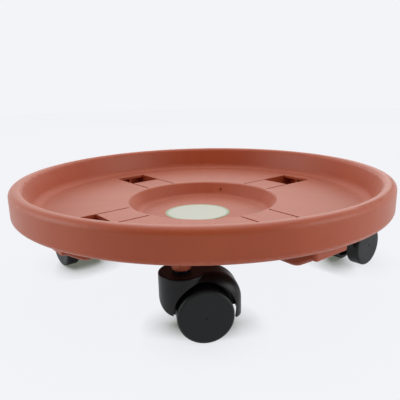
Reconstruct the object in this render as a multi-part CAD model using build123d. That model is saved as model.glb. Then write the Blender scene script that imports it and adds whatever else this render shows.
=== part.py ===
from build123d import *
from math import cos, hypot, radians, sin
import os

# Plant caddy: a round moulded tray that rolls on four hooded twin-wheel swivel casters.
# Millimetres, +Z up. The origin is on the ground, straight under the middle of the tray.

# Tray, measured from the ground
tray_radius = 175.0
rim_top = 91.0
skirt_bottom = 66.0
floor_top = 65.6
wall = 2.6
rim_crown_round = 5.0
inner_crown_round = 4.5
skirt_lip_round = 4.2
skirt_lip_width = 5.4
lip_edge_round = 0.8
under_crown_round = 1.6
under_floor_round = 3.0
under_recess_edge_round = 1.5
under_recess_foot_round = 5.4
inner_wall_top_radius = 164.8
inner_wall_base_radius = 157.6
inner_wall_foot_round = 9.0

# A band of the floor beside the wall stands a little proud of the rest
floor_band_radius = 148.0
floor_band_step = 0.2

# Sunken middle of the tray
recess_edge_radius = 72.5
recess_floor_radius = 63.0
recess_floor_top = 51.6
recess_edge_round = 3.0
recess_foot_round = 8.0
weep_dimple_radius = 1.25
weep_dimple_depth = 1.6
weep_dimple_height = 58.6
weep_dimple_angle = 78.7

# Four spring fingers, each between two slits, with a hole and a pocket past its tip
finger_angles = (45, 135, 225, 315)
slit_offset = 17.0
slit_width = 1.8
slit_start = 72.9
finger_tip = 105.5
hole_end = 141.5
hole_half_width = slit_offset + slit_width / 2
pocket_wall = 2.0
pocket_inner_end = 100.0
pocket_outer_end = 152.3
pocket_bottom = 40.2
pocket_ledge = 49.2
pocket_ramp_start = 134.0
pocket_ramp_end = 148.5
finger_gap = 1.2
pocket_rib_width = 2.4
pocket_front_round = 10.0
pocket_belly_round = 16.0
pocket_step_round = 2.0
pocket_end_round = 1.2
pocket_side_round = 3.0

# Caster bosses and the ribs under the floor
caster_circle = 138.0
boss_radius = 6.8
boss_bottom = 50.4
socket_top = 63.4
gusset_width = 1.8
gusset_arm = 22.0
gusset_tip = 1.5
boss_gusset_bottom = 54.5
rib_width = 1.8
rib_bottom = 58.5
rib_tip = 0.8
rib_count = 8
rim_gusset_count = 24
rim_gusset_width = 1.4
rim_gusset_bottom = 70.0

# Sticker on the sunken middle
label_half_length = 31.6
label_half_width = 28.8
label_thickness = 0.2
label_centre = (-4.9, -3.2)
label_turn = 6.5

# Swivel stem and its grip ring
stem_radius = 4.0
stem_clearance = 0.05
stem_bottom = 29.6
stem_top = 63.2
stem_chamfer = 0.6
collar_radius = 5.2
collar_bottom = 49.2
collar_top = 50.1
groove_radius = 3.3
groove_bottom = 56.2
groove_top = 61.4
ring_split = 1.6
ring_gap = 0.1

# Caster hood, in its own frame: the stem is at x = 0 and the wheels trail along +x
deck_height = 48.4
nose_radius = 16.5
nose_bottom = 21.5
nose_foot_round = 9.0
fender_half_width = 16.5
fender_side_round = 11.0
fender_rear_round = 20.5
fender_tail = 41.0
fender_bottom = 16.6
hood_shell = 2.2
deck_edge_round = 1.2
neck_radius = 6.2
neck_top = 50.0
trail = 14.2
arch_radius = 21.9
arch_centre_height = 22.5
fork_inside = 3.0
fork_outside = 5.4
fork_front = -9.0
fork_rear = 40.0
fork_front_foot = 17.0
fork_rear_foot = 22.0
fork_front_round = 3.0
fork_rear_round = 4.0
hub_radius = 6.5
stem_boss_radius = 5.4
stem_boss_bottom = 27.5

# Wheels and axle
wheel_radius = 20.0
wheel_inside = 6.0
wheel_outside = 18.5
tread_inside = 6.3
tread_edge_round = 2.2
tread_inner_round = 0.8
rim_inside_radius = 17.0
web_thickness = 2.4
wheel_hub_radius = 5.5
spoke_width = 1.6
spoke_count = 6
spoke_recess = 1.5
spoke_root_radius = 4.5
hub_edge_round = 0.4
web_corner_round = 0.8
axle_radius = 2.5
axle_clearance = 0.06
axle_half_length = 16.5
axle_end_gap = 0.1
axle_chamfer = 0.4
snap_groove_radius = 2.2
snap_groove_start = 14.0
snap_groove_end = 15.0
snap_play = 0.15
snap_lead = 0.2
face_dimple_radius = 1.2
face_dimple_depth = 0.3

# Where each caster stands round the tray, and which way its wheels trail at rest
casters = {
    "front": (270, 15.0),
    "right": (0, 48.0),
    "back": (90, 158.0),
    "left": (180, 314.0),
}

# Overlap that lets two shapes fuse without a gap between them
weld = 0.4

# How far a cut runs on past the face that it goes through
through = 1.0


def outline(corners):
    """Closed face through (x, y, radius) corners, each rounded to its radius."""
    points = [(x, y) for x, y, radius in corners]
    radii = [radius for x, y, radius in corners]
    return make_face(FilletPolyline(points, radius=radii, close=True))


def upright(face, width):
    """Stand an (x, z) face upright and give it a width across y, half each side."""
    return extrude(Plane.XZ * face, amount=width / 2, both=True)


def turn(shape, angle):
    return Rot(0, 0, angle) * shape


def disc(radius, bottom, top):
    """Round solid on the z axis between two heights."""
    return Pos(0, 0, bottom) * Cylinder(radius, top - bottom, align=(Align.CENTER, Align.CENTER, Align.MIN))


def block(x_low, x_high, half_width, bottom, top):
    """Box that straddles the x axis."""
    size = Box(x_high - x_low, 2 * half_width, top - bottom)
    return Pos((x_low + x_high) / 2, 0, (bottom + top) / 2) * size


def sloped_wall(low, high):
    """Give the radius of a wall's hidden side at any height, for a wall drawn by its two ends."""
    lean = (high[0] - low[0]) / (high[1] - low[1])
    shift = wall * hypot(1, lean)
    return lambda height: low[0] + lean * (height - low[1]) + shift


# The tray's section from the middle outwards, turned once round the z axis
def tray_shell():
    crown_under = rim_top - wall
    floor_under = floor_top - wall
    band_top = floor_top + floor_band_step
    recess_wall = sloped_wall((recess_floor_radius, recess_floor_top), (recess_edge_radius, floor_top))
    rim_wall = sloped_wall((inner_wall_base_radius, band_top), (inner_wall_top_radius, rim_top))
    recess_under = recess_floor_top - wall
    skirt_inside = tray_radius - wall
    lip_inside = tray_radius - skirt_lip_width
    lip_top = skirt_bottom + wall
    section = outline([
        (0, recess_floor_top, 0),
        (recess_floor_radius, recess_floor_top, recess_foot_round),
        (recess_edge_radius, floor_top, recess_edge_round),
        (floor_band_radius, floor_top, 0),
        (floor_band_radius + floor_band_step, band_top, 0),
        (inner_wall_base_radius, band_top, inner_wall_foot_round),
        (inner_wall_top_radius, rim_top, inner_crown_round),
        (tray_radius, rim_top, rim_crown_round),
        (tray_radius, skirt_bottom, skirt_lip_round),
        (lip_inside, skirt_bottom, lip_edge_round),
        (lip_inside, lip_top, lip_edge_round),
        (skirt_inside, lip_top, skirt_lip_round - wall),
        (skirt_inside, crown_under, rim_crown_round - wall),
        (rim_wall(crown_under), crown_under, under_crown_round),
        (rim_wall(floor_under), floor_under, under_floor_round),
        (recess_wall(floor_under), floor_under, under_recess_edge_round),
        (recess_wall(recess_under), recess_under, under_recess_foot_round),
        (0, recess_under, 0),
    ])
    return revolve(Plane.XZ * section, axis=Axis.Z)


# Pocket under one hole: a cup with a deep belly and a shallow ledge towards the rim
def pocket_form(inset, top):
    ramp_run = pocket_ramp_end - pocket_ramp_start
    ramp_rise = pocket_ledge - pocket_bottom
    slope = ramp_rise / ramp_run
    ramp_shift = inset * (hypot(1, slope) - 1) / slope
    section = outline([
        (pocket_inner_end + inset, top, 0),
        (pocket_inner_end + inset, pocket_bottom + inset, pocket_front_round - inset),
        (pocket_ramp_start - ramp_shift, pocket_bottom + inset, pocket_belly_round),
        (pocket_ramp_end - ramp_shift, pocket_ledge + inset, pocket_step_round),
        (pocket_outer_end - inset, pocket_ledge + inset, pocket_end_round),
        (pocket_outer_end - inset, top, 0),
    ])
    width = 2 * (hole_half_width + pocket_wall - inset)
    return upright(section, width)


def softened_pocket():
    """Outside of the pocket, its side edges rounded and its top sunk into the floor."""
    tall = pocket_form(0, rim_top)
    side_edges = tall.faces().sort_by(Axis.Y)[0].edges() + tall.faces().sort_by(Axis.Y)[-1].edges()
    soft = fillet(side_edges, pocket_side_round)
    under = block(pocket_inner_end - through, pocket_outer_end + through, 2 * hole_half_width,
                  0, floor_top - wall + weld)
    return soft & under


def pocket_cavity():
    return pocket_form(pocket_wall, floor_top - wall)


def finger_cuts():
    """Two slits, the hole past the finger's tip and the gap that leaves the finger free to flex."""
    above = floor_top + wall
    under = floor_top - wall
    slit = block(slit_start, finger_tip + slit_width, slit_width / 2, under - finger_gap, above)
    hole = block(finger_tip, hole_end, hole_half_width, under - weld, above)
    gap_end = pocket_inner_end + pocket_wall + weld
    gap = block(pocket_inner_end - weld, gap_end, hole_half_width, under - finger_gap, under)
    return [Pos(0, slit_offset, 0) * slit, Pos(0, -slit_offset, 0) * slit, hole, gap]


def pocket_rib():
    """Upright rib under the hole's outer lip that splits the pocket's end in two."""
    bottom = pocket_ledge + pocket_wall - weld
    end = pocket_outer_end - pocket_wall / 2
    return block(hole_end + weld, end, pocket_rib_width / 2, bottom, floor_top - wall + weld)


# Boss for a caster stem, with four gussets that tie it to the floor
def caster_boss():
    floor_under = floor_top - wall + weld
    boss = disc(boss_radius, boss_bottom, floor_under)
    arm = outline([
        (0, boss_gusset_bottom, 0),
        (boss_radius, boss_gusset_bottom, 0),
        (gusset_arm, floor_top - wall - gusset_tip, 0),
        (gusset_arm, floor_under, 0),
        (0, floor_under, 0),
    ])
    reach = inner_wall_base_radius + weld - caster_circle
    short_arm = block(0, reach, gusset_width / 2, rib_bottom, floor_under)
    gussets = [turn(upright(arm, gusset_width), angle) for angle in (90, 180, 270)]
    whole = boss + gussets + short_arm
    return Pos(caster_circle, 0, 0) * whole


def caster_socket():
    bore = disc(stem_radius + stem_clearance, boss_bottom - through, socket_top)
    return Pos(caster_circle, 0, 0) * bore


def floor_rib():
    """Radial rib from the wall of the sunken middle to the foot of the rim."""
    top = floor_top - wall + weld
    recess_wall = sloped_wall((recess_floor_radius, recess_floor_top), (recess_edge_radius, floor_top))
    section = outline([
        (recess_wall(rib_bottom) - 2 * weld, rib_bottom, 0),
        (floor_band_radius, rib_bottom, 0),
        (inner_wall_base_radius, floor_top - wall - rib_tip, 0),
        (inner_wall_base_radius, top, 0),
        (recess_wall(top) - 2 * weld, top, 0),
    ])
    return upright(section, rib_width)


def rim_gusset():
    """Thin plate that ties the skirt to the inner wall inside the hollow rim."""
    crown_under = rim_top - wall + weld
    rim_wall = sloped_wall((inner_wall_base_radius, floor_top), (inner_wall_top_radius, rim_top))
    outside = tray_radius - wall + weld
    section = outline([
        (rim_wall(rim_gusset_bottom) - 2 * weld, rim_gusset_bottom, 0),
        (outside, rim_gusset_bottom, 0),
        (outside, crown_under, 0),
        (rim_wall(crown_under) - 2 * weld, crown_under, 0),
    ])
    return upright(section, rim_gusset_width)


def weep_dimple():
    """Small blind hole in the wall of the sunken middle."""
    height_share = (weep_dimple_height - recess_floor_top) / (floor_top - recess_floor_top)
    wall_radius = recess_floor_radius + height_share * (recess_edge_radius - recess_floor_radius)
    drill = Rot(0, 90, 0) * Cylinder(weep_dimple_radius, 2 * weep_dimple_depth)
    return turn(Pos(wall_radius, 0, weep_dimple_height) * drill, weep_dimple_angle)


def make_tray():
    caster_angles = [place for place, heading in casters.values()]
    rib_step = 360 / rib_count
    gusset_step = 360 / rim_gusset_count
    added = [turn(softened_pocket(), angle) for angle in finger_angles]
    added += [turn(caster_boss(), angle) for angle in caster_angles]
    added += [turn(floor_rib(), rib_step * (index + 0.5)) for index in range(rib_count)]
    added += [turn(rim_gusset(), gusset_step * (index + 0.5)) for index in range(rim_gusset_count)]
    tray = tray_shell() + added
    removed = [turn(pocket_cavity(), angle) for angle in finger_angles]
    removed += [turn(caster_socket(), angle) for angle in caster_angles]
    removed += [turn(cut, angle) for angle in finger_angles for cut in finger_cuts()]
    removed.append(weep_dimple())
    tray = tray - removed
    return tray + [turn(pocket_rib(), angle) for angle in finger_angles]


def make_label():
    x, y = label_centre
    oval = extrude(Ellipse(label_half_length, label_half_width), amount=label_thickness)
    return Pos(x, y, recess_floor_top) * turn(oval, label_turn)


# Caster pieces, each in the caster's own frame
def make_stem():
    pin = disc(stem_radius, stem_bottom, stem_top)
    pin = chamfer(pin.edges().filter_by(GeomType.CIRCLE), stem_chamfer)
    collar = disc(collar_radius, collar_bottom, collar_top)
    band = disc(stem_radius + through, groove_bottom, groove_top)
    groove = band - disc(groove_radius, groove_bottom, groove_top)
    return pin + collar - groove


def make_grip_ring():
    bottom = groove_bottom + ring_gap
    top = groove_top - ring_gap
    ring = disc(stem_radius + stem_clearance, bottom, top) - disc(groove_radius + ring_gap, bottom, top)
    return ring - block(0, stem_radius + through, ring_split / 2, bottom - through, top + through)


def nose_form(inset):
    """Round nose about the stem, with a flat deck and a rounded foot, or the same drawn in."""
    front = inset - nose_radius
    top = deck_height - inset
    bottom = nose_bottom + inset
    side = outline([
        (front, bottom, nose_foot_round - inset),
        (front, top, 0),
        (nose_radius, top, 0),
        (nose_radius, bottom, 0),
    ])
    return disc(nose_radius - inset, bottom, top) & upright(side, 3 * nose_radius)


def fender_form(inset, bottom):
    """Arched cover over the wheels, its crown rounded down to both sides, or the same drawn in."""
    tail = fender_tail - inset
    top = deck_height - inset
    side = outline([
        (0, bottom, 0),
        (0, top, 0),
        (tail, top, fender_rear_round - inset),
        (tail, bottom, 0),
    ])
    form = upright(side, 2 * (fender_half_width - inset))
    crown_edges = [edge for edge in form.edges() if is_crown_edge(edge, bottom)]
    return fillet(crown_edges, fender_side_round - inset)


def is_crown_edge(edge, bottom):
    """True for the edges where the crown and the tail meet a side, and not for upright or foot edges."""
    middle = edge.position_at(0.5)
    runs_lengthwise = abs(edge.tangent_at(0.5).Y) < 0.5
    return runs_lengthwise and middle.X > through and middle.Z > bottom + through


def axle_cylinder(radius, half_length):
    """Round solid on the wheel axis."""
    return Pos(trail, 0, wheel_radius) * Rot(90, 0, 0) * Cylinder(radius, 2 * half_length)


def arch_cut():
    """Round space that the wheels turn in."""
    cut = Rot(90, 0, 0) * Cylinder(arch_radius, 2 * (nose_radius + through))
    return Pos(trail, 0, arch_centre_height) * cut


def fork_plate():
    """One of the two plates between the wheels that carry the axle."""
    top = deck_height - hood_shell / 2
    foot = outline([
        (fork_front, top, 0),
        (fork_front, fork_front_foot, fork_front_round),
        (trail - hub_radius, wheel_radius, 0),
        (trail + hub_radius, wheel_radius, 0),
        (fork_rear, fork_rear_foot, fork_rear_round),
        (fork_rear, top, 0),
    ])
    profile = foot + Pos(trail, wheel_radius) * Circle(hub_radius)
    plate = extrude(Plane.XZ * profile, amount=fork_outside - fork_inside)
    return Pos(0, -fork_inside, 0) * plate


def make_hood():
    nose = nose_form(0)
    deck_rim = nose.edges().filter_by(GeomType.CIRCLE).sort_by(Axis.Z)[-1]
    outer = fillet(deck_rim, deck_edge_round) + fender_form(0, fender_bottom)
    shell = outer - nose_form(hood_shell) - fender_form(hood_shell, fender_bottom - hood_shell) - arch_cut()
    plate = fork_plate()
    plates = [plate, mirror(plate, Plane.XZ)]
    boss = disc(stem_boss_radius, stem_boss_bottom, deck_height - hood_shell / 2)
    inside = (boss + plates) & (outer + arch_cut())
    neck = disc(neck_radius, deck_height - hood_shell / 2, neck_top)
    hood = shell + inside + neck
    end = neck_top + through
    hood = hood - disc(stem_radius, stem_bottom, end) - disc(collar_radius, collar_bottom, end)
    return hood - axle_cylinder(axle_radius, fork_outside + through)


def make_axle():
    shaft = axle_cylinder(axle_radius, axle_half_length)
    shaft = chamfer(shaft.edges().filter_by(GeomType.CIRCLE), axle_chamfer)
    middle = (snap_groove_start + snap_groove_end) / 2
    half = (snap_groove_end - snap_groove_start) / 2
    band = axle_cylinder(axle_radius + through, half) - axle_cylinder(snap_groove_radius, half)
    return shaft - [Pos(0, middle, 0) * band, Pos(0, -middle, 0) * band]


# A wheel's section as (radius, distance from the caster's middle plane)
def wheel_section():
    bore = axle_radius + axle_clearance
    snap = snap_groove_radius + axle_clearance
    snap_start = snap_groove_start + snap_play
    snap_end = snap_groove_end - snap_play
    web_inside = wheel_outside - web_thickness
    bore_end = axle_half_length + axle_end_gap
    return outline([
        (bore, wheel_inside, 0),
        (wheel_hub_radius, wheel_inside, hub_edge_round),
        (wheel_hub_radius, web_inside, web_corner_round),
        (rim_inside_radius, web_inside, web_corner_round),
        (rim_inside_radius, tread_inside, hub_edge_round),
        (wheel_radius, tread_inside, tread_inner_round),
        (wheel_radius, wheel_outside, tread_edge_round),
        (0, wheel_outside, 0),
        (0, bore_end, 0),
        (bore, bore_end, 0),
        (bore, snap_end, 0),
        (snap, snap_end - snap_lead, 0),
        (snap, snap_start + snap_lead, 0),
        (bore, snap_start, 0),
    ])


def make_wheel(side):
    """Wheel on the +y side of the caster for side 1, or on the -y side for side -1."""
    wheel = revolve(Plane.XZ * wheel_section(), axis=Axis.Z)
    spoke = block(spoke_root_radius, rim_inside_radius + weld, spoke_width / 2,
                  wheel_inside + spoke_recess, wheel_outside - web_thickness + weld)
    wheel = wheel + [turn(spoke, index * 360 / spoke_count) for index in range(spoke_count)]
    wheel = wheel - disc(face_dimple_radius, wheel_outside - face_dimple_depth, wheel_outside + through)
    return Pos(trail, 0, wheel_radius) * Rot(-90 * side, 0, 0) * wheel


def place_caster(shape, place, heading):
    """Stand a caster piece on its boss, with its wheels trailing along the heading."""
    x = caster_circle * cos(radians(place))
    y = caster_circle * sin(radians(place))
    return Pos(x, y, 0) * turn(shape, heading)


def save(name, shape):
    shape.label = name
    export_step(shape, f"parts/{name}.step")
    print(f"{name}: {len(shape.solids())} solid, {shape.volume / 1000:.2f} cm3")


def main():
    os.makedirs("parts", exist_ok=True)
    save("tray", make_tray())
    save("round_label", make_label())
    pieces = {
        "stem": make_stem(),
        "grip_ring": make_grip_ring(),
        "hood": make_hood(),
        "axle": make_axle(),
        "wheel_left": make_wheel(1),
        "wheel_right": make_wheel(-1),
    }
    for corner, (place, heading) in casters.items():
        for piece, shape in pieces.items():
            save(f"{corner}_caster_{piece}", place_caster(shape, place, heading))


main()
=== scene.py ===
# %% [markdown]
# # Dressing a plant caddy
# The object is a round tray moulded in terracotta-coloured plastic, which rolls on four black
# twin-wheel casters. A potted plant stands in it. Its solids come from a CAD model, in metres,
# standing on the ground at z = 0, and they already have the right shape. So this lesson is
# mostly about surfaces: how moulded plastic, zinc-plated steel and a paper sticker catch the
# light, and what the mould leaves behind on them.

from math import pi, radians

import bmesh
import bpy
from mathutils import Matrix, Vector


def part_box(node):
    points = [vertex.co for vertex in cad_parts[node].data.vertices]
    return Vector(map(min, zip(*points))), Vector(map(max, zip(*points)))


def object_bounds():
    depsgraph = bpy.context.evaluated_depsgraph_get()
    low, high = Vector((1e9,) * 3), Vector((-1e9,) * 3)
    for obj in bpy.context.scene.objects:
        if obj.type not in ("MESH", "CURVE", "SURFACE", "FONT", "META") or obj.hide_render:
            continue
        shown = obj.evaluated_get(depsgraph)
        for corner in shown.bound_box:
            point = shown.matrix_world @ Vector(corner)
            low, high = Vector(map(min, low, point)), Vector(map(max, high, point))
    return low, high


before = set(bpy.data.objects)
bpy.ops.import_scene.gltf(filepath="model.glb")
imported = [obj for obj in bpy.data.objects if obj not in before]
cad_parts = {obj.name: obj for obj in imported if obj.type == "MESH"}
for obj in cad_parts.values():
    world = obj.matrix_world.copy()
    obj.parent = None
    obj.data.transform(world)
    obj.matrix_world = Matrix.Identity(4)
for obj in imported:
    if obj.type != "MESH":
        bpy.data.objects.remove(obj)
cad_low, cad_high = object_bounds()
mm = 0.001

# %% [markdown]
# ## Small helpers
# Hex colours are written for screens, so they are turned to the linear values that shaders
# work in. One function adds any shader node with its settings and its links. A few more stand
# for the nodes that every finish here uses: the place on the object, noise of a given size, a
# blend of two colours and a change of range. That keeps each material down to the lines that
# say something about the plastic, the metal or the paper.

# %% Colour and node helpers
def from_hex(code):
    """Turn an sRGB hex colour into linear red, green, blue and full alpha."""
    channels = [int(code[start:start + 2], 16) / 255 for start in (1, 3, 5)]
    linear = [c / 12.92 if c <= 0.04045 else ((c + 0.055) / 1.055) ** 2.4 for c in channels]
    return (*linear, 1.0)


def add_node(tree, kind, inputs=None, **settings):
    """Add a node, set its properties, then give each input a value or a link."""
    node = tree.nodes.new(kind)
    for name, value in settings.items():
        setattr(node, name, value)
    for name, value in (inputs or {}).items():
        if isinstance(value, bpy.types.NodeSocket):
            tree.links.new(value, node.inputs[name])
        else:
            node.inputs[name].default_value = value
    return node


def empty_tree(owner):
    """Turn on the nodes of a material or a world and take out the ones it starts with."""
    owner.use_nodes = True
    owner.node_tree.nodes.clear()
    return owner.node_tree


def new_material(name):
    """Start a material with one Principled shader."""
    material = bpy.data.materials.new(name)
    tree = empty_tree(material)
    shader = add_node(tree, "ShaderNodeBsdfPrincipled")
    add_node(tree, "ShaderNodeOutputMaterial", {"Surface": shader.outputs["BSDF"]})
    return material, tree, shader


def set_shader(tree, shader, inputs):
    """Give the shader's named inputs their values and links."""
    for name, value in inputs.items():
        if isinstance(value, bpy.types.NodeSocket):
            tree.links.new(value, shader.inputs[name])
        else:
            shader.inputs[name].default_value = value


def place_on_object(tree):
    return add_node(tree, "ShaderNodeTexCoord").outputs["Object"]


def noise(tree, place, size, detail, roughness=0.5):
    """Noise from 0 to 1 whose patches are about this size across."""
    inputs = {"Vector": place, "Scale": 1 / size, "Detail": detail, "Roughness": roughness}
    return add_node(tree, "ShaderNodeTexNoise", inputs).outputs["Fac"]


def blend(tree, share, first, second):
    """Mix two colours by a share from 0 to 1."""
    inputs = {0: share, 6: first, 7: second}
    return add_node(tree, "ShaderNodeMix", inputs, data_type="RGBA").outputs[2]


def new_range(tree, value, taken, given):
    """Map the range that is taken to the range that is given, and hold the ends."""
    inputs = {"Value": value, "From Min": taken[0], "From Max": taken[1],
              "To Min": given[0], "To Max": given[1]}
    return add_node(tree, "ShaderNodeMapRange", inputs).outputs["Result"]


def reckon(tree, operation, first, second, **settings):
    """One sum on two numbers."""
    return add_node(tree, "ShaderNodeMath", {0: first, 1: second}, operation=operation, **settings).outputs[0]


def move_vector(tree, operation, inputs):
    """One sum on vectors."""
    return add_node(tree, "ShaderNodeVectorMath", inputs, operation=operation).outputs["Vector"]


unit_range = (0.0, 1.0)
noise_middle = (0.3, 0.7)
print("helpers ready")

# %% [markdown]
# ## The camera
# The photograph was taken from just above the rim, so the tray is a flat ellipse and the front
# caster stands clear below it. The camera's place was worked out from the tray's ellipses: it
# is given here as a distance and a height from the middle of the ground, a heading, a tilt
# down and a slight roll, with the lens as a focal length in pixels of the 400 pixel frame.

# %% Set up the camera
photo_pixels = 400
sensor_mm = 36.0
focal_pixels = 442.2
centre_shift_pixels = 2.57
camera_distance = 423.3 * mm
camera_height = 172.8 * mm
camera_heading = radians(6.49)
camera_tilt_down = radians(14.53)
camera_roll = radians(-1.11)
nearest_seen = 10 * mm


def make_camera():
    data = bpy.data.cameras.new("photo_camera")
    data.sensor_width = sensor_mm
    data.lens = focal_pixels / photo_pixels * sensor_mm
    data.shift_x = -centre_shift_pixels / photo_pixels
    data.clip_start = nearest_seen
    camera = bpy.data.objects.new("photo_camera", data)
    bpy.context.scene.collection.objects.link(camera)
    place = Matrix.Translation((0, -camera_distance, camera_height))
    stand = Matrix.Rotation(camera_heading, 4, "Z") @ place
    tilt = Matrix.Rotation(radians(90) - camera_tilt_down, 4, "X")
    camera.matrix_world = stand @ tilt @ Matrix.Rotation(camera_roll, 4, "Z")
    bpy.context.scene.camera = camera
    return camera


camera = make_camera()
print("lens in mm:", round(camera.data.lens, 2))

# %% [markdown]
# ## Floor, backdrop and light
# A product photograph of this kind is taken in a white tent, with a soft lamp above it and one
# at each side, so the skirt is brightest where it turns away to the left and right. A fourth
# lamp stands behind, and its low light lays a pale veil on the floor and the crown of the rim.
# The camera looks in through the tent's opening, which is darker, so the front stays deep red.
# The world is the tent. The floor mostly shows the backdrop's own colour, which hides where one
# ends and the other starts, and it darkens only close to the wheels, most of all on the side
# where the tray keeps the light away as well. Seen from below it is clear, so that the
# underside of the tray can be looked at.

# %% Make the stage
backdrop_colour = "#F3F4F8"
white = (1.0, 1.0, 1.0, 1.0)
tent_light = 0.80
opening_share = 0.18
opening_depths = (-0.8, 0.2)
floor_radius = 3.0
floor_corners = 96
floor_grey = (0.8, 0.8, 0.8, 1.0)
floor_matte_share = 0.03
shade_colour = "#6A6E64"
shade_reach = 30 * mm
shade_gain = 1.9
shade_radii = (128 * mm, 150 * mm)
shade_faint_share = 0.12
tray_middle = (0, 0, 0.07)
lamps = {
    "tent_roof": {"size": 1.1, "power": 4.0, "place": (0, 0.25, 1.2)},
    "left_lamp": {"size": 0.7, "power": 4.7, "place": (-1.05, -0.35, 0.42)},
    "right_lamp": {"size": 0.7, "power": 4.7, "place": (1.05, -0.35, 0.42)},
    "back_lamp": {"size": 1.4, "power": 4.6, "place": (0, 1.3, 0.62)},
}


def ray_is(tree, kind):
    """One for rays of this kind, and zero for the others."""
    return add_node(tree, "ShaderNodeLightPath").outputs[f"Is {kind} Ray"]


def seen_directly(tree):
    """One for camera and see-through rays, which show the backdrop."""
    return reckon(tree, "MAXIMUM", ray_is(tree, "Camera"), ray_is(tree, "Transmission"))


def seen_or_mirrored(tree):
    """One for camera and see-through rays, and for mirror rays as well."""
    return reckon(tree, "MAXIMUM", seen_directly(tree), ray_is(tree, "Glossy"))


def tent_opening(tree):
    """Full light from behind and beside the object, and less from the camera's side."""
    direction = add_node(tree, "ShaderNodeTexCoord").outputs["Generated"]
    depth = add_node(tree, "ShaderNodeSeparateXYZ", {0: direction}).outputs["Y"]
    return new_range(tree, depth, opening_depths, (opening_share, 1.0))


def make_world():
    """Let mirror rays see the tent at full strength and give matte surfaces a little less."""
    world = bpy.data.worlds.new("white_tent")
    tree = empty_tree(world)
    strength = new_range(tree, ray_is(tree, "Glossy"), unit_range, (tent_light, 1.0))
    shaded = reckon(tree, "MULTIPLY", strength, tent_opening(tree))
    light = add_node(tree, "ShaderNodeBackground", {"Color": white, "Strength": shaded})
    backdrop = add_node(tree, "ShaderNodeBackground", {"Color": from_hex(backdrop_colour)})
    chosen = add_node(tree, "ShaderNodeMixShader",
                      {0: seen_directly(tree), 1: light.outputs[0], 2: backdrop.outputs[0]})
    add_node(tree, "ShaderNodeOutputWorld", {"Surface": chosen.outputs[0]})
    bpy.context.scene.world = world


def floor_shade(tree):
    """How far the wheels close off the floor, counted less towards the tray's edge and outside it."""
    open_sky = add_node(tree, "ShaderNodeAmbientOcclusion", {"Distance": shade_reach}, samples=16)
    closed = reckon(tree, "SUBTRACT", 1.0, open_sky.outputs["AO"])
    place = add_node(tree, "ShaderNodeNewGeometry").outputs["Position"]
    radius = add_node(tree, "ShaderNodeVectorMath", {0: place}, operation="LENGTH").outputs["Value"]
    share = new_range(tree, radius, shade_radii, (1.0, shade_faint_share))
    deep = reckon(tree, "MULTIPLY", closed, shade_gain)
    return reckon(tree, "MULTIPLY", deep, share, use_clamp=True)


def make_floor_material():
    """The backdrop's own colour with a little matte floor, darker near the wheels, clear from below."""
    material = bpy.data.materials.new("pale_studio_floor")
    tree = empty_tree(material)
    matte = add_node(tree, "ShaderNodeBsdfDiffuse", {"Color": floor_grey})
    colour = blend(tree, floor_shade(tree), from_hex(backdrop_colour), from_hex(shade_colour))
    glow = add_node(tree, "ShaderNodeEmission", {"Color": colour})
    shown = add_node(tree, "ShaderNodeMixShader",
                     {0: floor_matte_share, 1: glow.outputs[0], 2: matte.outputs[0]})
    above = add_node(tree, "ShaderNodeMixShader",
                     {0: seen_or_mirrored(tree), 1: matte.outputs[0], 2: shown.outputs[0]})
    clear = add_node(tree, "ShaderNodeBsdfTransparent")
    below = add_node(tree, "ShaderNodeNewGeometry").outputs["Backfacing"]
    chosen = add_node(tree, "ShaderNodeMixShader", {0: below, 1: above.outputs[0], 2: clear.outputs[0]})
    add_node(tree, "ShaderNodeOutputMaterial", {"Surface": chosen.outputs[0]})
    return material


def make_floor():
    mesh = bpy.data.meshes.new("studio_floor")
    build = bmesh.new()
    bmesh.ops.create_circle(build, cap_ends=True, segments=floor_corners, radius=floor_radius)
    build.to_mesh(mesh)
    build.free()
    mesh.materials.append(make_floor_material())
    floor = bpy.data.objects.new("studio_floor", mesh)
    bpy.context.scene.collection.objects.link(floor)


def add_soft_light(name, size, power, place):
    """A large square lamp that looks at the tray."""
    data = bpy.data.lights.new(name, "AREA")
    data.shape = "SQUARE"
    data.size = size
    data.energy = power
    lamp = bpy.data.objects.new(name, data)
    bpy.context.scene.collection.objects.link(lamp)
    away = Vector(place) - Vector(tray_middle)
    lamp.matrix_world = Matrix.Translation(place) @ away.to_track_quat("Z", "Y").to_matrix().to_4x4()


make_world()
make_floor()
for name, lamp in lamps.items():
    add_soft_light(name, **lamp)
bpy.context.scene.view_settings.view_transform = "Standard"
print("stage ready, lamps:", len(lamps))

# %% [markdown]
# ## Terracotta polypropylene
# The tray is injection-moulded polypropylene with the pigment all through it. Three things make
# it look moulded and not painted. The melt flows outwards from a gate under the middle, so the
# colour is very slightly streaked that way, outwards on the floor and straight down the skirt.
# The mould itself was turned, which leaves faint rings on the flat floor. And all of it
# has a fine satin grain, which gives a pale veil when the surface is seen at a low angle.
# Polypropylene has an index of refraction of about 1.49.

# %% Make the terracotta plastic
terracotta_deep = "#A0401C"
terracotta_light = "#AF4F27"
flow_patch = 26 * mm
flow_drift = 0.15
ring_spacing = 2.2 * mm
ring_depth = 0.010 * mm
facing_up = (0.9, 0.99)
grain_size = 0.9 * mm
grain_depth = 0.02 * mm
satin = (0.40, 0.52)
polypropylene_ior = 1.49
veil_tint = (1.0, 0.97, 0.90, 1.0)


def outward_flow(tree, place):
    """Coordinates that hardly change outwards or downwards, so that noise on them makes flow streaks."""
    tray_radius = (cad_high.y - cad_low.y) / 2
    flat = move_vector(tree, "MULTIPLY", {0: place, 1: (1, 1, 0)})
    around = move_vector(tree, "NORMALIZE", {0: flat})
    spread = move_vector(tree, "SCALE", {0: around, "Scale": tray_radius})
    drift = move_vector(tree, "SCALE", {0: place, "Scale": flow_drift})
    return move_vector(tree, "ADD", {0: spread, 1: drift})


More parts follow.
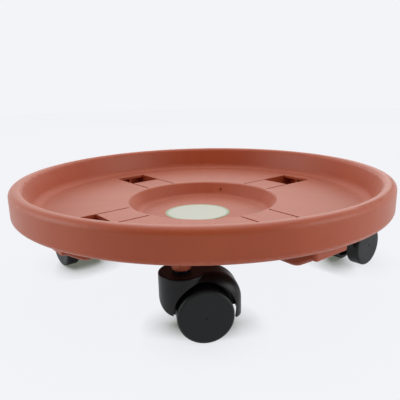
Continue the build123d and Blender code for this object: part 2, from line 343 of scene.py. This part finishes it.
def turned_rings(tree, place):
    """Faint bump of the mould's turning marks, only where the surface faces up."""
    # Blender's wave repeats every pi / 10 of its scaled coordinate
    rings = add_node(tree, "ShaderNodeTexWave",
                     {"Vector": place, "Scale": pi / 10 / ring_spacing, "Distortion": 0.6,
                      "Detail": 2.0, "Detail Scale": 0.02}, wave_type="RINGS", rings_direction="Z")
    normal = add_node(tree, "ShaderNodeNewGeometry").outputs["Normal"]
    upright = add_node(tree, "ShaderNodeSeparateXYZ", {0: normal}).outputs["Z"]
    on_floor = new_range(tree, upright, facing_up, unit_range)
    bump = add_node(tree, "ShaderNodeBump",
                    {"Height": rings.outputs["Fac"], "Distance": ring_depth, "Strength": on_floor})
    return bump.outputs["Normal"]


def make_terracotta():
    material, tree, shader = new_material("satin_terracotta_polypropylene")
    place = place_on_object(tree)
    streaks = noise(tree, outward_flow(tree, place), flow_patch, detail=3.0, roughness=0.55)
    grain = noise(tree, place, grain_size, detail=2.0)
    bump = add_node(tree, "ShaderNodeBump",
                    {"Height": grain, "Distance": grain_depth, "Normal": turned_rings(tree, place)})
    set_shader(tree, shader, {
        "Base Color": blend(tree, streaks, from_hex(terracotta_deep), from_hex(terracotta_light)),
        "Roughness": new_range(tree, grain, noise_middle, satin),
        "Normal": bump.outputs["Normal"],
        "IOR": polypropylene_ior,
        "Specular IOR Level": 0.50,
        "Sheen Weight": 0.30,
        "Sheen Roughness": 0.35,
        "Sheen Tint": veil_tint,
    })
    return material


terracotta = make_terracotta()
print("made", terracotta.name)

# %% [markdown]
# ## Black nylon
# The hoods and wheels are moulded nylon, black all through. Nylon is a little glossier than
# polypropylene. The hood has a fine spark-eroded grain, which spreads highlights, and the wheel
# is duller. The index of refraction is about 1.53.

# %% Make the nylons
nylon_cloud = 9 * mm
nylon_ior = 1.53
nylon_gloss = 0.24
gloss_spread = 0.05


def make_nylon(name, deep, light, roughness, grain_size, grain_depth):
    material, tree, shader = new_material(name)
    place = place_on_object(tree)
    grain = noise(tree, place, grain_size, detail=3.0)
    cloud = noise(tree, place, nylon_cloud, detail=2.0)
    gloss = (roughness - gloss_spread, roughness + gloss_spread)
    bump = add_node(tree, "ShaderNodeBump", {"Height": grain, "Distance": grain_depth})
    set_shader(tree, shader, {
        "Base Color": blend(tree, cloud, from_hex(deep), from_hex(light)),
        "Roughness": new_range(tree, cloud, noise_middle, gloss),
        "Normal": bump.outputs["Normal"],
        "IOR": nylon_ior,
        "Specular IOR Level": nylon_gloss,
    })
    return material


hood_nylon = make_nylon("grained_black_nylon", deep="#090A0B", light="#101112", roughness=0.38,
                        grain_size=0.6 * mm, grain_depth=0.02 * mm)
wheel_nylon = make_nylon("dull_black_nylon", deep="#141617", light="#1A1C1C", roughness=0.48,
                         grain_size=0.8 * mm, grain_depth=0.015 * mm)
print("made", hood_nylon.name, "and", wheel_nylon.name)

# %% [markdown]
# ## Zinc-plated steel
# Stems, axles and grip rings are turned steel with a thin bright zinc plating, whose crystals
# give it a faint bloom. Only a little of it shows, under the hoods.

# %% Make the steel
zinc_dull = "#B4B6B8"
zinc_bright = "#D2D2CC"
zinc_crystal = 3 * mm
zinc_gloss = (0.24, 0.42)


def make_steel():
    material, tree, shader = new_material("zinc_plated_steel")
    bloom = noise(tree, place_on_object(tree), zinc_crystal, detail=4.0)
    set_shader(tree, shader, {
        "Base Color": blend(tree, bloom, from_hex(zinc_dull), from_hex(zinc_bright)),
        "Roughness": new_range(tree, bloom, unit_range, zinc_gloss),
        "Metallic": 1.0,
    })
    return material


steel = make_steel()
print("made", steel.name)

# %% [markdown]
# ## The sticker
# A paper sticker lies in the sunken middle, off-white with a narrow pale green border that
# follows its edge. It is left bare here. It was stuck on square to the camera, so its oval is
# turned by the camera's heading. The border is found from how far a point is from the sticker's
# middle, measured as a share of half the sticker's length and width.

# %% Make the sticker's paper
paper_dull = "#B9BCAF"
paper_bright = "#C7CABD"
border_green = "#99A785"
border_share = 0.09
border_edge_share = 0.015
paper_fibre = 0.7 * mm
paper_roughness = 0.45


def make_label_paper(turn):
    material, tree, shader = new_material("coated_label_paper")
    low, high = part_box("round_label")
    middle = (low + high) / 2
    half = (high - low) / 2
    place = place_on_object(tree)
    from_middle = add_node(tree, "ShaderNodeMapping", {"Vector": place, "Location": -middle})
    turned = add_node(tree, "ShaderNodeMapping",
                      {"Vector": from_middle.outputs["Vector"], "Rotation": (0, 0, -turn)})
    share = move_vector(tree, "MULTIPLY", {0: turned.outputs["Vector"], 1: (1 / half.x, 1 / half.y, 0)})
    reach = add_node(tree, "ShaderNodeVectorMath", {0: share}, operation="LENGTH").outputs["Value"]
    border_start = 1 - border_share
    border = new_range(tree, reach, (border_start, border_start + border_edge_share), unit_range)
    fibre = noise(tree, place, paper_fibre, detail=3.0)
    paper = blend(tree, fibre, from_hex(paper_dull), from_hex(paper_bright))
    set_shader(tree, shader, {
        "Base Color": blend(tree, border, paper, from_hex(border_green)),
        "Roughness": paper_roughness,
    })
    return material


label_paper = make_label_paper(turn=camera_heading)
print("made", label_paper.name)

# %% [markdown]
# ## Dress the pieces
# Every caster has the same six pieces, so one table says which finish each kind of piece has,
# and the part of a name after its caster says the kind.

# %% Give every piece its material
finishes = {
    "tray": terracotta,
    "round_label": label_paper,
    "hood": hood_nylon,
    "wheel_left": wheel_nylon,
    "wheel_right": wheel_nylon,
    "stem": steel,
    "axle": steel,
    "grip_ring": steel,
}
for name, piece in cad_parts.items():
    kind = name.split("_caster_")[-1]
    piece.data.materials.clear()
    piece.data.materials.append(finishes[kind])
print("dressed", len(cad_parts), "pieces")
